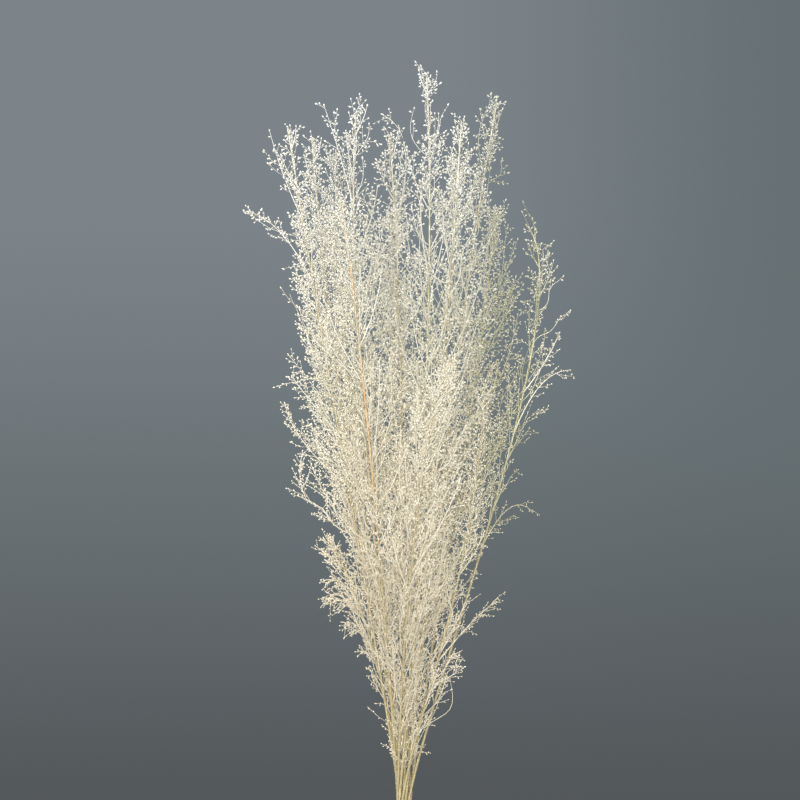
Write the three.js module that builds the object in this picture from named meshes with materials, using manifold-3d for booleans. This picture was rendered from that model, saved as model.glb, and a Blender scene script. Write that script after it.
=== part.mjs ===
// Bleached, dried sweet wormwood standing in a plain glass bottle.
// Millimetres, +Z up, the viewer on the -Y side. The origin is the centre of the bottle's foot.
import * as THREE from "three";
import { mergeVertices } from "three/addons/utils/BufferGeometryUtils.js";
import Module from "manifold-3d";

const wasm = await Module();
wasm.setup();

// Bottle
const BOTTLE_HEIGHT = 216;
const BODY_RADIUS = 38;
const FOOT_ROUNDING = 5;
const BODY_TOP = 112;
const SHOULDER_TOP = 158;
const NECK_RADIUS_LOW = 14.6;
const NECK_RADIUS_HIGH = 10.6;
const LIP_RADIUS = 12.4;
const LIP_HEIGHT = 9;
const LIP_ROUNDING = 2;
const MOUTH_RADIUS = 7.2;
const MOUTH_CHAMFER = 1;
const WALL = 3.4;
const FLOOR_THICKNESS = 6;
const BOTTLE_SIDES = 24;
const ARC_STEPS = 3;
const SHOULDER_STEPS = 5;

// Where the stems are gathered, just above the mouth. Near it and below they are straight lines
// that cross in one sense, as in a spiral-tied bunch, so that none touches another.
const WAIST_HEIGHT = 221;
const TWIST_PER_MM = 0.023;
const FOOT_GAP = 0.5;
const INNER_RING = { radius: 2.0, slots: 4, firstAngle: -35 };
const OUTER_RING = { radius: 5.1, slots: 12, firstAngle: -56 };
const STRAIGHT_ABOVE_WAIST = 70;

// Thickness of what grows. Every side branch is rooted by a point sunk in the middle of what
// carries it, so that no root shows on its far side.
const STEM_RADIUS_FOOT = 1.3;
const STEM_RADIUS_WAIST = 1.1;
const STEM_RADIUS_TIP = 0.7;
const STEM_SIDES = 5;
const STEM_STEPS = 10;
const BRANCH_RADII = [0, 1.3, 1.1, 0.9];
const BRANCH_SIDES = 3;
const BRANCH_STEPS = BRANCH_RADII.length;
const SEED_RADIUS = 1.4;
const SEED_LENGTH = 3.2;
const SEED_WIDEST = 0.4;
const SEED_SIDES = 3;

// How the side branches grow. Their lengths are shares of the stem's reach.
const GOLDEN_ANGLE = THREE.MathUtils.degToRad(137.508);
const BRANCH_LEAN = THREE.MathUtils.degToRad(31);
const BRANCH_UPTURN = 0.34;
const BRANCH_SHORTEST = 17;
const LOWEST_SHARE = 0.4;
const LONGEST_AT = 0.25;
const TOPMOST_SHARE = 0.16;
const FADING_POWER = 2.6;
const CROWDING_UPWARDS = 0.9;
const BARE_TOP = 9;
const UNEVENNESS = 0.2;

// How the stalks of the seed heads grow on a side branch
const STALK_LEAN = THREE.MathUtils.degToRad(48);
const STALK_LONGEST = 24;
const STALK_SHORTEST = 13;
const SEED_SPACING = 25;
const SEEDS_FROM = 0.25;
const SEEDS_TO = 0.95;

// Room between what belongs to different stems
const CLEARANCE = 0.35;
const CLEAR_PASSES = 4;
const CLEAR_ABOVE_TIP = 30;

// Each stem: the ring it is gathered in, its tip, and the point that its upper half bends towards.
// branches is how many side branches it has, reach the longest of them, bareTo the height of the first.
const STEMS = [
  { ring: INNER_RING, tip: [44, 70, 742], bend: [38, 60, 540], branches: 12, reach: 100, bareTo: 330 },
  { ring: INNER_RING, tip: [-12, 16, 762], bend: [2, 14, 620], branches: 13, reach: 105, bareTo: 330 },
  { ring: INNER_RING, tip: [-38, -27, 775], bend: [-50, -30, 590], branches: 13, reach: 108, bareTo: 330 },
  { ring: INNER_RING, tip: [18, -26, 803], bend: [28, -30, 600], branches: 14, reach: 105, bareTo: 350 },
  { ring: OUTER_RING, tip: [98, 18, 690], bend: [150, 22, 640], branches: 9, reach: 56, bareTo: 460 },
  { ring: OUTER_RING, tip: [75, 52, 706], bend: [62, 52, 540], branches: 12, reach: 84, bareTo: 320 },
  { ring: OUTER_RING, tip: [-10, 80, 704], bend: [-12, 72, 520], branches: 12, reach: 98, bareTo: 290 },
  { ring: OUTER_RING, tip: [-56, 62, 754], bend: [-60, 58, 550], branches: 12, reach: 98, bareTo: 320 },
  { ring: OUTER_RING, tip: [-74, 16, 760], bend: [-62, 14, 560], branches: 13, reach: 88, bareTo: 330 },
  { ring: OUTER_RING, tip: [-62, -4, 438], bend: [-30, -4, 395], branches: 7, reach: 45, bareTo: 300 },
  { ring: OUTER_RING, tip: [-92, -30, 764], bend: [-58, -34, 550], branches: 12, reach: 68, bareTo: 330 },
  { ring: OUTER_RING, tip: [-48, -70, 700], bend: [-26, -64, 540], branches: 12, reach: 105, bareTo: 300 },
  { ring: OUTER_RING, tip: [36, -76, 580], bend: [4, -74, 500], branches: 12, reach: 100, bareTo: 270 },
  { ring: OUTER_RING, tip: [45, -44, 767], bend: [32, -52, 560], branches: 13, reach: 108, bareTo: 290 },
  { ring: OUTER_RING, tip: [64, -24, 560], bend: [56, -50, 400], branches: 9, reach: 44, bareTo: 262 },
  { ring: OUTER_RING, tip: [74, -8, 785], bend: [40, -6, 600], branches: 13, reach: 94, bareTo: 290 },
];

// Single side branches that stand out of the bunch: the stem's number, the height they leave it at,
// the point they bend towards and their tip.
const OUTLYING_BRANCHES = [
  { stem: 11, from: 640, bend: [-96, -34, 690], tip: [-122, -34, 696] },
  { stem: 5, from: 520, bend: [108, 16, 572], tip: [133, 14, 572] },
  { stem: 5, from: 430, bend: [86, 10, 478], tip: [103, 8, 458] },
  { stem: 15, from: 340, bend: [58, -24, 380], tip: [72, -26, 388] },
  { stem: 11, from: 440, bend: [-92, -30, 458], tip: [-80, -34, 508] },
  { stem: 11, from: 520, bend: [-80, -30, 554], tip: [-88, -30, 566] },
  { stem: 10, from: 372, bend: [-56, -8, 404], tip: [-60, -12, 388] },
  { stem: 11, from: 690, bend: [-98, -30, 728], tip: [-106, -30, 760] },
  { stem: 3, from: 700, bend: [-48, -30, 736], tip: [-63, -30, 780] },
  { stem: 2, from: 690, bend: [14, 14, 762], tip: [-16, 12, 777] },
  { stem: 11, from: 480, bend: [-88, -32, 515], tip: [-94, -32, 545] },
  { stem: 6, from: 520, bend: [84, 48, 560], tip: [93, 46, 618] },
];

// A repeatable stream of numbers from 0 to 1.
function numberStream(seed) {
  let state = seed >>> 0;
  return () => {
    state = (state + 0x6d2b79f5) >>> 0;
    let mixed = Math.imul(state ^ (state >>> 15), state | 1);
    mixed ^= mixed + Math.imul(mixed ^ (mixed >>> 7), mixed | 61);
    return ((mixed ^ (mixed >>> 14)) >>> 0) / 4294967296;
  };
}

// A closed geometry as a solid that can be joined to others.
function solidOf(geometry) {
  geometry.deleteAttribute("normal");
  geometry.deleteAttribute("uv");
  const merged = mergeVertices(geometry, 1e-4);
  const corners = [];
  for (let i = 0; i < merged.index.count; i += 3) {
    const [a, b, c] = [0, 1, 2].map((k) => merged.index.getX(i + k));
    if (a !== b && b !== c && c !== a) corners.push(a, b, c);
  }
  const vertProperties = merged.attributes.position.array;
  const triVerts = new Uint32Array(corners);
  return new wasm.Manifold(new wasm.Mesh({ numProp: 3, vertProperties, triVerts }));
}

// A joined solid as a geometry.
function geometryOf(solid) {
  const mesh = solid.getMesh();
  const geometry = new THREE.BufferGeometry();
  geometry.setAttribute("position", new THREE.BufferAttribute(mesh.vertProperties, 3));
  geometry.setIndex(new THREE.BufferAttribute(mesh.triVerts, 1));
  geometry.computeVertexNormals();
  return geometry;
}

// A limb turned as a lathe profile with one ring a point, then bent so that each ring lies on its point.
function limb(points, radii, sides) {
  const last = points.length - 1;
  const profile = [new THREE.Vector2(0, 0)];
  radii.forEach((radius, i) => profile.push(new THREE.Vector2(radius, i)));
  const geometry = new THREE.LatheGeometry(profile, sides);
  const chord = points[last].clone().sub(points[0]);
  const reference = new THREE.Vector3(-chord.z, chord.x, chord.y).cross(chord).normalize();
  const frames = points.map((point, i) => {
    const before = points[Math.max(i - 1, 0)];
    const after = points[Math.min(i + 1, last)];
    const along = after.clone().sub(before).normalize();
    const side = new THREE.Vector3().crossVectors(reference, along).normalize();
    return { point, side, across: new THREE.Vector3().crossVectors(side, along) };
  });
  const position = geometry.attributes.position;
  for (let i = 0; i < position.count; i++) {
    const { point, side, across } = frames[Math.round(position.getY(i))];
    const placed = point.clone();
    placed.addScaledVector(side, position.getX(i)).addScaledVector(across, position.getZ(i));
    position.setXYZ(i, placed.x, placed.y, placed.z);
  }
  return solidOf(geometry);
}

// A quarter round from one point of a profile to another, bulging towards the corner.
function quarterRound(from, to, corner) {
  const curve = new THREE.QuadraticBezierCurve(from, corner, to);
  return curve.getPoints(ARC_STEPS);
}

// The curve from the bottle's straight body up to its neck, moved in and down for its inner face.
function shoulderCurve(inset, drop) {
  const at = (radius, height) => new THREE.Vector2(radius - inset, height - drop);
  const rise = SHOULDER_TOP - BODY_TOP;
  return new THREE.CubicBezierCurve(
    at(BODY_RADIUS, BODY_TOP),
    at(BODY_RADIUS, BODY_TOP + 0.65 * rise),
    at(NECK_RADIUS_LOW + 4, SHOULDER_TOP - 0.35 * rise),
    at(NECK_RADIUS_LOW, SHOULDER_TOP),
  ).getPoints(SHOULDER_STEPS);
}

// The bottle's outline from the middle of its foot, over the lip and down to the middle of its floor.
function bottleProfile() {
  const at = (radius, height) => new THREE.Vector2(radius, height);
  const lipFoot = BOTTLE_HEIGHT - LIP_HEIGHT;
  const innerRadius = BODY_RADIUS - WALL;
  const foot = [at(BODY_RADIUS - FOOT_ROUNDING, 0), at(BODY_RADIUS, FOOT_ROUNDING), at(BODY_RADIUS, 0)];
  const lipLow = [at(LIP_RADIUS - LIP_ROUNDING, lipFoot), at(LIP_RADIUS, lipFoot + LIP_ROUNDING)];
  const lipHigh = [
    at(LIP_RADIUS, BOTTLE_HEIGHT - LIP_ROUNDING),
    at(LIP_RADIUS - LIP_ROUNDING, BOTTLE_HEIGHT),
  ];
  const floor = [
    at(innerRadius, FLOOR_THICKNESS + FOOT_ROUNDING),
    at(innerRadius - FOOT_ROUNDING, FLOOR_THICKNESS),
    at(innerRadius, FLOOR_THICKNESS),
  ];
  return [
    at(0, 0),
    ...quarterRound(...foot),
    ...shoulderCurve(0, 0),
    at(NECK_RADIUS_HIGH, lipFoot - LIP_ROUNDING),
    ...quarterRound(...lipLow, at(LIP_RADIUS, lipFoot)),
    ...quarterRound(...lipHigh, at(LIP_RADIUS, BOTTLE_HEIGHT)),
    at(MOUTH_RADIUS + MOUTH_CHAMFER, BOTTLE_HEIGHT),
    at(MOUTH_RADIUS, BOTTLE_HEIGHT - MOUTH_CHAMFER),
    ...shoulderCurve(WALL, 1).reverse(),
    ...quarterRound(...floor),
    at(0, FLOOR_THICKNESS),
  ];
}

function makeBottle() {
  const geometry = new THREE.LatheGeometry(bottleProfile(), BOTTLE_SIDES);
  geometry.rotateX(Math.PI / 2);
  const glass = new THREE.MeshStandardMaterial({
    color: 0xcfdcd2,
    roughness: 0.05,
    metalness: 0,
    transparent: true,
    opacity: 0.4,
  });
  const bottle = new THREE.Mesh(geometryOf(solidOf(geometry)), glass);
  bottle.name = "bottle";
  return bottle;
}

// The line of one stem: a straight leg from the bottle's floor to the waist, then a bending shoot.
function stemLine(stem, slot) {
  const angle = THREE.MathUtils.degToRad(stem.ring.firstAngle + (360 / stem.ring.slots) * slot);
  const out = new THREE.Vector3(Math.cos(angle), Math.sin(angle), 0).multiplyScalar(stem.ring.radius);
  const along = new THREE.Vector3(-out.y, out.x, 0).multiplyScalar(TWIST_PER_MM).setZ(1);
  const waist = out.clone().setZ(WAIST_HEIGHT);
  const legLength = WAIST_HEIGHT - FLOOR_THICKNESS - FOOT_GAP;
  const shoot = new THREE.CubicBezierCurve3(
    waist,
    waist.clone().addScaledVector(along, STRAIGHT_ABOVE_WAIST),
    new THREE.Vector3(...stem.bend),
    new THREE.Vector3(...stem.tip),
  );
  return [waist.clone().addScaledVector(along, -legLength), ...shoot.getPoints(STEM_STEPS)];
}

// Fills in each stem's own number and line.
function layOutStems() {
  const slotsUsed = new Map();
  STEMS.forEach((stem, i) => {
    const slot = slotsUsed.get(stem.ring) ?? 0;
    slotsUsed.set(stem.ring, slot + 1);
    Object.assign(stem, { number: i + 1, line: stemLine(stem, slot) });
  });
}

// A place on a line of points, by index and share of the way to the next, and the way it runs there.
function onLine(line, index, share) {
  const along = line[index + 1].clone().sub(line[index]);
  return { point: line[index].clone().addScaledVector(along, share), along: along.normalize() };
}

// Where a stem crosses a height. Past its tip it counts as going straight up.
function atHeight(stem, height) {
  const { line } = stem;
  const next = line.findIndex((point) => point.z > height);
  if (next < 0) return { point: line.at(-1).clone().setZ(height), along: new THREE.Vector3(0, 0, 1) };
  const from = Math.max(next - 1, 0);
  return onLine(line, from, (height - line[from].z) / (line[from + 1].z - line[from].z));
}

// Pulls a point back until it lies nearer its own stem than any other, with room to spare.
function keepClear(stem, point, room) {
  const own = atHeight(stem, point.z).point;
  for (let pass = 0; pass < CLEAR_PASSES; pass++) {
    for (const other of STEMS) {
      if (other === stem || point.z > other.tip[2] + CLEAR_ABOVE_TIP) continue;
      const across = atHeight(other, point.z).point.sub(own);
      const border = Math.max(across.length() / 2 - room, 0);
      across.normalize();
      const past = point.clone().sub(own).dot(across) - border;
      if (past > 0) point.addScaledVector(across, -past);
    }
  }
  return point;
}

// A size made a little larger or smaller.
function roughly(size, chance) {
  return size * (1 + UNEVENNESS * (2 * chance() - 1));
}

// A seed head on its stalk, rooted on a point of what it grows from.
function makeSeed(stem, root, direction, length) {
  const room = SEED_RADIUS + CLEARANCE;
  const [widest, end] = [length - SEED_LENGTH * (1 - SEED_WIDEST), length].map((distance) =>
    keepClear(stem, root.clone().addScaledVector(direction, distance), room),
  );
  return limb([root, widest, end], [0, SEED_RADIUS, 0], SEED_SIDES);
}

// Seed heads up a side branch, turning round it by the golden angle.
function seedsAlong(stem, line, length, chance) {
  const count = Math.max(1, Math.round(length / SEED_SPACING));
  const seeds = [];
  for (let i = 0; i < count; i++) {
    const share = THREE.MathUtils.lerp(SEEDS_FROM, SEEDS_TO, (i + chance()) / count);
    const place = share * BRANCH_STEPS;
    const { point, along } = onLine(line, Math.floor(place), place % 1);
    const side = new THREE.Vector3(0, 0, 1).cross(along).normalize();
    side.applyAxisAngle(along, i * GOLDEN_ANGLE + chance() * Math.PI);
    const direction = along.multiplyScalar(Math.cos(STALK_LEAN)).addScaledVector(side, Math.sin(STALK_LEAN));
    const stalk = THREE.MathUtils.lerp(STALK_LONGEST, STALK_SHORTEST, share);
    seeds.push(makeSeed(stem, point, direction, roughly(stalk, chance)));
  }
  return seeds;
}

// A side branch along a curve, with its seed heads and one more at its tip.
function makeBranch(stem, path, chance) {
  const room = SEED_RADIUS + CLEARANCE;
  const spaced = path.getSpacedPoints(BRANCH_STEPS);
  const line = spaced.map((point, i) => (i ? keepClear(stem, point, room) : point));
  const tip = onLine(line, BRANCH_STEPS - 1, 1);
  const widest = tip.point.clone().addScaledVector(tip.along, SEED_LENGTH * SEED_WIDEST);
  const end = tip.point.clone().addScaledVector(tip.along, SEED_LENGTH);
  const twig = limb([...line.slice(0, -1), widest, end], [...BRANCH_RADII, SEED_RADIUS, 0], BRANCH_SIDES);
  return [twig, ...seedsAlong(stem, line, path.getLength(), chance)];
}

// The curve of the side branch that leaves a stem at a height, at a bearing, with a length.
function branchPath(stem, height, bearing, length) {
  const { point, along } = atHeight(stem, height);
  const side = new THREE.Vector3(Math.cos(bearing), Math.sin(bearing), 0);
  const up = along.multiplyScalar(length * Math.cos(BRANCH_LEAN));
  const out = side.multiplyScalar(length * Math.sin(BRANCH_LEAN));
  const middle = point.clone().addScaledVector(up, 0.5).addScaledVector(out, 0.5);
  const tip = point.clone().add(up).addScaledVector(out, 1 - BRANCH_UPTURN);
  return new THREE.QuadraticBezierCurve3(point, middle, tip);
}

// How long a side branch is, at a share of the way from the lowest to the topmost.
function branchLength(stem, share) {
  const growing = Math.min(1, THREE.MathUtils.lerp(LOWEST_SHARE, 1, share / LONGEST_AT));
  const fading = THREE.MathUtils.lerp(1, TOPMOST_SHARE, share ** FADING_POWER);
  return Math.max(BRANCH_SHORTEST, stem.reach * growing * fading);
}

function makeSideBranches(stem) {
  const chance = numberStream(1000 * stem.number);
  const top = stem.tip[2] - BARE_TOP;
  const parts = [];
  for (let i = 0; i < stem.branches; i++) {
    const share = ((i + chance() / 2) / (stem.branches - 0.5)) ** CROWDING_UPWARDS;
    const height = THREE.MathUtils.lerp(stem.bareTo, top, share);
    const length = roughly(branchLength(stem, share), chance);
    const bearing = i * GOLDEN_ANGLE + stem.number;
    parts.push(...makeBranch(stem, branchPath(stem, height, bearing, length), chance));
  }
  return parts;
}

function makeOutlyingBranches(stem) {
  const branches = OUTLYING_BRANCHES.filter((branch) => branch.stem === stem.number);
  return branches.flatMap((branch, i) => {
    const root = atHeight(stem, branch.from).point;
    const bend = new THREE.Vector3(...branch.bend);
    const path = new THREE.QuadraticBezierCurve3(root, bend, new THREE.Vector3(...branch.tip));
    return makeBranch(stem, path, numberStream(1000 * stem.number + 500 + i));
  });
}

// The bare stick of a stem, from its cut foot to the seed head at its tip.
function makeStick(stem) {
  const { point, along } = onLine(stem.line, STEM_STEPS, 1);
  const points = [...stem.line, point.clone().addScaledVector(along, SEED_LENGTH)];
  const radii = points.map((_, i) => {
    if (i === 0) return STEM_RADIUS_FOOT;
    return THREE.MathUtils.lerp(STEM_RADIUS_WAIST, STEM_RADIUS_TIP, (i - 1) / (STEM_STEPS - 1));
  });
  radii.splice(-2, 2, SEED_RADIUS, 0);
  return limb(points, radii, STEM_SIDES);
}

function makeStem(stem) {
  const parts = [makeStick(stem), ...makeSideBranches(stem), ...makeOutlyingBranches(stem)];
  const straw = new THREE.MeshStandardMaterial({ color: 0xe4dcc0, roughness: 0.85, flatShading: true });
  const mesh = new THREE.Mesh(geometryOf(wasm.Manifold.union(parts)), straw);
  mesh.name = "wormwood_stem_" + String(stem.number).padStart(2, "0");
  return mesh;
}

layOutStems();
const bunch = new THREE.Group();
bunch.add(makeBottle(), ...STEMS.map(makeStem));
export default bunch;
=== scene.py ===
"""Bleached, dried sweet wormwood standing in a plain glass bottle.

Metres, +Z up, the viewer on the -Y side, the origin at the centre of the bottle's foot. The stems, their
side branches and the stalks of the frame's solids are grown again by the same rules, and the finer
twigs and seed heads are added to them.
"""

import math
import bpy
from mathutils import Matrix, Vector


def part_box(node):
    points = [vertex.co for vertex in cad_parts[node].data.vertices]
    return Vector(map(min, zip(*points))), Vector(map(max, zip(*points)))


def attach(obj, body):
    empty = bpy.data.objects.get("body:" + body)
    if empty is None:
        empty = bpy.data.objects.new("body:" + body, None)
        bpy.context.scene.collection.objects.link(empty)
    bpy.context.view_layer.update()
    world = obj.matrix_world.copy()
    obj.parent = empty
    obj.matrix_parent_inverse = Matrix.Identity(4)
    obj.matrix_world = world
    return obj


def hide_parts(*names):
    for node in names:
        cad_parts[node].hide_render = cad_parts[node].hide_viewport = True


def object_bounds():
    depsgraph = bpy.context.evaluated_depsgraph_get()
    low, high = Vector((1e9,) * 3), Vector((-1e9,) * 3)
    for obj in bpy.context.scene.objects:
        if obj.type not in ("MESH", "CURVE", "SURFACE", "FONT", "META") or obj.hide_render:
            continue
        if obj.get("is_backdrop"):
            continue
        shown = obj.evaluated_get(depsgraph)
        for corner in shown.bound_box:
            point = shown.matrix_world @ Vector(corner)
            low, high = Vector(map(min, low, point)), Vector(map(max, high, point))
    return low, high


bl_info = {
    "name": "Dried Sweet Wormwood in a Bottle",
    "version": (1, 0, 0),
    "blender": (4, 5, 0),
    "location": "3D View > Sidebar > Wormwood",
    "description": "A bunch of dried wormwood with its twigs and seed heads, its bottle and a stage",
    "category": "Add Mesh",
}

from contextlib import contextmanager
from dataclasses import dataclass, field, fields

import bpy
import numpy as np
from bpy.props import FloatProperty, FloatVectorProperty, IntProperty, PointerProperty
from mathutils import Vector

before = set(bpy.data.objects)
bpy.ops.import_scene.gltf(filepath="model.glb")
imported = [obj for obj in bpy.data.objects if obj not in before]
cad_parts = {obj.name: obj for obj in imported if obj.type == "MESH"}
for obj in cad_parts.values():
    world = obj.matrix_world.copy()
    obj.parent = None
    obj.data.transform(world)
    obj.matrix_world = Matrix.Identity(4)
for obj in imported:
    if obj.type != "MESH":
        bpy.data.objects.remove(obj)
CAD_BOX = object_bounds()
BOTTLE_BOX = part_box("bottle")

MM = 0.001
GOLDEN_ANGLE = math.radians(137.508)
FULL_TURN = 2 * math.pi

# The rings that the stems are gathered in, in millimetres and degrees
INNER_RING = {"radius": 2.0, "slots": 4, "first_angle": -35}
OUTER_RING = {"radius": 5.1, "slots": 12, "first_angle": -56}


@dataclass
class Stem:
    """One stem. Its tip, bend, reach, heights and lowest branch are given in millimetres. Density is the
    share of its twigs that it still carries, and fullness the share of those about two thirds up. Green is
    the share of green in its colour. Between the two heights of its bare front it lost the twigs towards
    the viewer. A loose stem's twigs may stand out past the edges of the bunch. Above its slim height only
    the twigs close to its stick are left, and they are shorter."""

    ring: dict
    tip: tuple
    bend: tuple
    branches: int
    reach: float
    bare_to: float
    look: str = "bleached"
    fullness: float = 1.0
    density: float = 1.0
    green: float = 0.05
    loose: bool = False
    slim_above: float = 900
    bare_front: tuple = (0, 0)
    number: int = 0
    corners: list = field(default_factory=list)
    line: np.ndarray = None

    @property
    def node(self):
        return f"wormwood_stem_{self.number:02d}"


STEMS = [
    Stem(INNER_RING, (44, 70, 742), (38, 60, 540), 12, 100, 330, fullness=0.36, green=0.12),
    Stem(INNER_RING, (-12, 16, 762), (2, 14, 620), 13, 105, 330, fullness=0.8, green=0.1),
    Stem(INNER_RING, (-38, -27, 775), (-50, -30, 590), 13, 108, 330, bare_front=(700, 745)),
    Stem(
        INNER_RING, (18, -26, 803), (28, -30, 600), 14, 105, 350, "olive",
        fullness=0.65, slim_above=758, bare_front=(560, 700),
    ),
    Stem(OUTER_RING, (98, 18, 690), (150, 22, 640), 9, 56, 460, "olive", density=0.36, green=0.1),
    Stem(OUTER_RING, (75, 52, 706), (62, 52, 540), 12, 84, 320, "olive", fullness=0.95, green=0.12),
    Stem(OUTER_RING, (-10, 80, 704), (-12, 72, 520), 12, 98, 290),
    Stem(OUTER_RING, (-56, 62, 754), (-60, 58, 550), 12, 98, 320),
    Stem(OUTER_RING, (-74, 16, 760), (-62, 14, 560), 13, 88, 330),
    Stem(OUTER_RING, (-62, -4, 438), (-30, -4, 395), 7, 45, 300, loose=True),
    Stem(OUTER_RING, (-92, -30, 764), (-58, -34, 550), 12, 68, 330),
    Stem(OUTER_RING, (-48, -70, 700), (-26, -64, 540), 12, 105, 300, "tan", bare_front=(430, 650)),
    Stem(OUTER_RING, (36, -76, 580), (4, -74, 500), 12, 100, 270),
    Stem(OUTER_RING, (45, -44, 767), (32, -52, 560), 13, 108, 290, fullness=0.4, green=0.15),
    Stem(OUTER_RING, (64, -24, 560), (56, -50, 400), 9, 44, 262),
    Stem(OUTER_RING, (74, -8, 785), (40, -6, 600), 13, 94, 290, fullness=0.34, green=0.2),
]

# Single side branches that stand out of the bunch, in millimetres: the stem's number, the height they
# leave it at, the point they bend towards and their tip
OUTLYING_BRANCHES = [
    (11, 640, (-96, -34, 690), (-122, -34, 696)),
    (5, 520, (108, 16, 572), (133, 14, 572)),
    (5, 430, (86, 10, 478), (103, 8, 458)),
    (15, 340, (58, -24, 380), (72, -26, 388)),
    (11, 440, (-92, -30, 458), (-80, -34, 508)),
    (11, 520, (-80, -30, 554), (-88, -30, 566)),
    (10, 372, (-56, -8, 404), (-60, -12, 388)),
    (11, 690, (-98, -30, 728), (-106, -30, 760)),
    (3, 700, (-48, -30, 736), (-63, -30, 780)),
    (2, 690, (14, 14, 762), (-16, 12, 777)),
    (11, 480, (-88, -32, 515), (-94, -32, 545)),
    (6, 520, (84, 48, 560), (93, 46, 618)),
]

# Thinner side branches that only the finished model has, in the same way, and whether twigs grow on them
SPRAYS = [
    (10, 340, (-40, -10, 380), (-48, -12, 368), True),
    (10, 352, (-46, -14, 406), (-57, -16, 384), True),
    (10, 325, (-27, -8, 352), (-34, -10, 346), True),
    (10, 372, (-48, -16, 416), (-62, -18, 402), True),
    (10, 362, (-44, -12, 394), (-50, -14, 380), True),
    (10, 346, (-34, -4, 372), (-41, -6, 362), True),
    (15, 296, (28, -36, 318), (35, -38, 328), True),
    (15, 312, (37, -36, 334), (43, -34, 338), True),
    (15, 326, (39, -34, 344), (42, -32, 347), True),
    (4, 770, (20, -26, 794), (17, -26, 811), True),
    (4, 788, (15, -26, 802), (11, -26, 815), True),
    (4, 606, (30, -36, 640), (44, -38, 668), False),
    (4, 640, (20, -36, 662), (6, -38, 690), False),
    (4, 596, (20, -38, 620), (8, -40, 650), False),
    (4, 655, (34, -36, 674), (46, -36, 682), False),
    (15, 284, (44, -30, 300), (37, -28, 326), False),
    (11, 590, (-84, -36, 606), (-89, -38, 632), False),
    (6, 400, (62, 34, 450), (78, 24, 492), True),
    (6, 440, (70, 34, 500), (88, 22, 540), True),
    (6, 480, (76, 40, 530), (96, 30, 582), True),
    (16, 390, (52, 2, 440), (72, 4, 482), True),
    (16, 430, (58, 0, 490), (84, 4, 524), True),
    (15, 440, (64, -20, 480), (76, -12, 520), True),
    (15, 480, (72, -16, 530), (90, -6, 556), True),
    (5, 480, (84, 8, 530), (86, 0, 574), True),
    (5, 440, (74, 6, 490), (76, 0, 540), True),
    (16, 728, (52, -10, 768), (72, -8, 788), True),
    (6, 560, (80, 48, 610), (92, 42, 648), True),
    (6, 600, (80, 50, 650), (88, 44, 690), True),
    (16, 600, (82, 0, 640), (92, 4, 676), True),
    (16, 560, (80, 0, 610), (96, 4, 640), True),
    (10, 366, (-50, -18, 400), (-64, -20, 388), True),
]


def length(name, metres, description):
    """A property that holds a length."""
    return FloatProperty(
        name=name, description=description, default=metres, precision=5, subtype="DISTANCE", unit="LENGTH"
    )


def tint(name, colour, description):
    """A property that holds a colour."""
    return FloatVectorProperty(
        name=name, description=description, default=colour, size=3, min=0, max=1, subtype="COLOR"
    )


def power(name, watts, description):
    """A property that holds the power of a light."""
    return FloatProperty(name=name, description=description, default=watts, min=0, unit="POWER")


class BottleSettings(bpy.types.PropertyGroup):
    """Sizes and glass of the bottle."""

    height: length("Height", BOTTLE_BOX[1].z, "From the foot to the top of the lip")
    body_radius: length("Body radius", 0.038, "Outer radius of the straight body")
    foot_rounding: length("Foot rounding", 0.005, "Radius between the foot and the body")
    body_top: length("Body top", 0.112, "Height where the shoulder begins")
    shoulder_top: length("Shoulder top", 0.158, "Height where the shoulder meets the neck")
    neck_radius_low: length("Lower neck radius", 0.0146, "Outer radius of the neck at the shoulder")
    neck_radius_high: length("Upper neck radius", 0.0106, "Outer radius of the neck under the lip")
    lip_radius: length("Lip radius", 0.0124, "Outer radius of the lip")
    lip_height: length("Lip height", 0.009, "Height of the lip")
    lip_rounding: length("Lip rounding", 0.002, "Radius of the lip's edges")
    mouth_radius: length("Mouth radius", 0.0072, "Inner radius of the mouth")
    mouth_chamfer: length("Mouth chamfer", 0.001, "Size of the slope at the mouth's edge")
    wall: length("Wall", 0.0034, "Thickness of the body's glass")
    floor_thickness: length("Floor thickness", 0.006, "Thickness of the glass floor")
    sides: IntProperty(name="Sides", description="Faces round the bottle", default=96, min=12)
    glass: tint("Glass", (0.93, 0.975, 0.95), "Tint of the clear glass")


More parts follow.
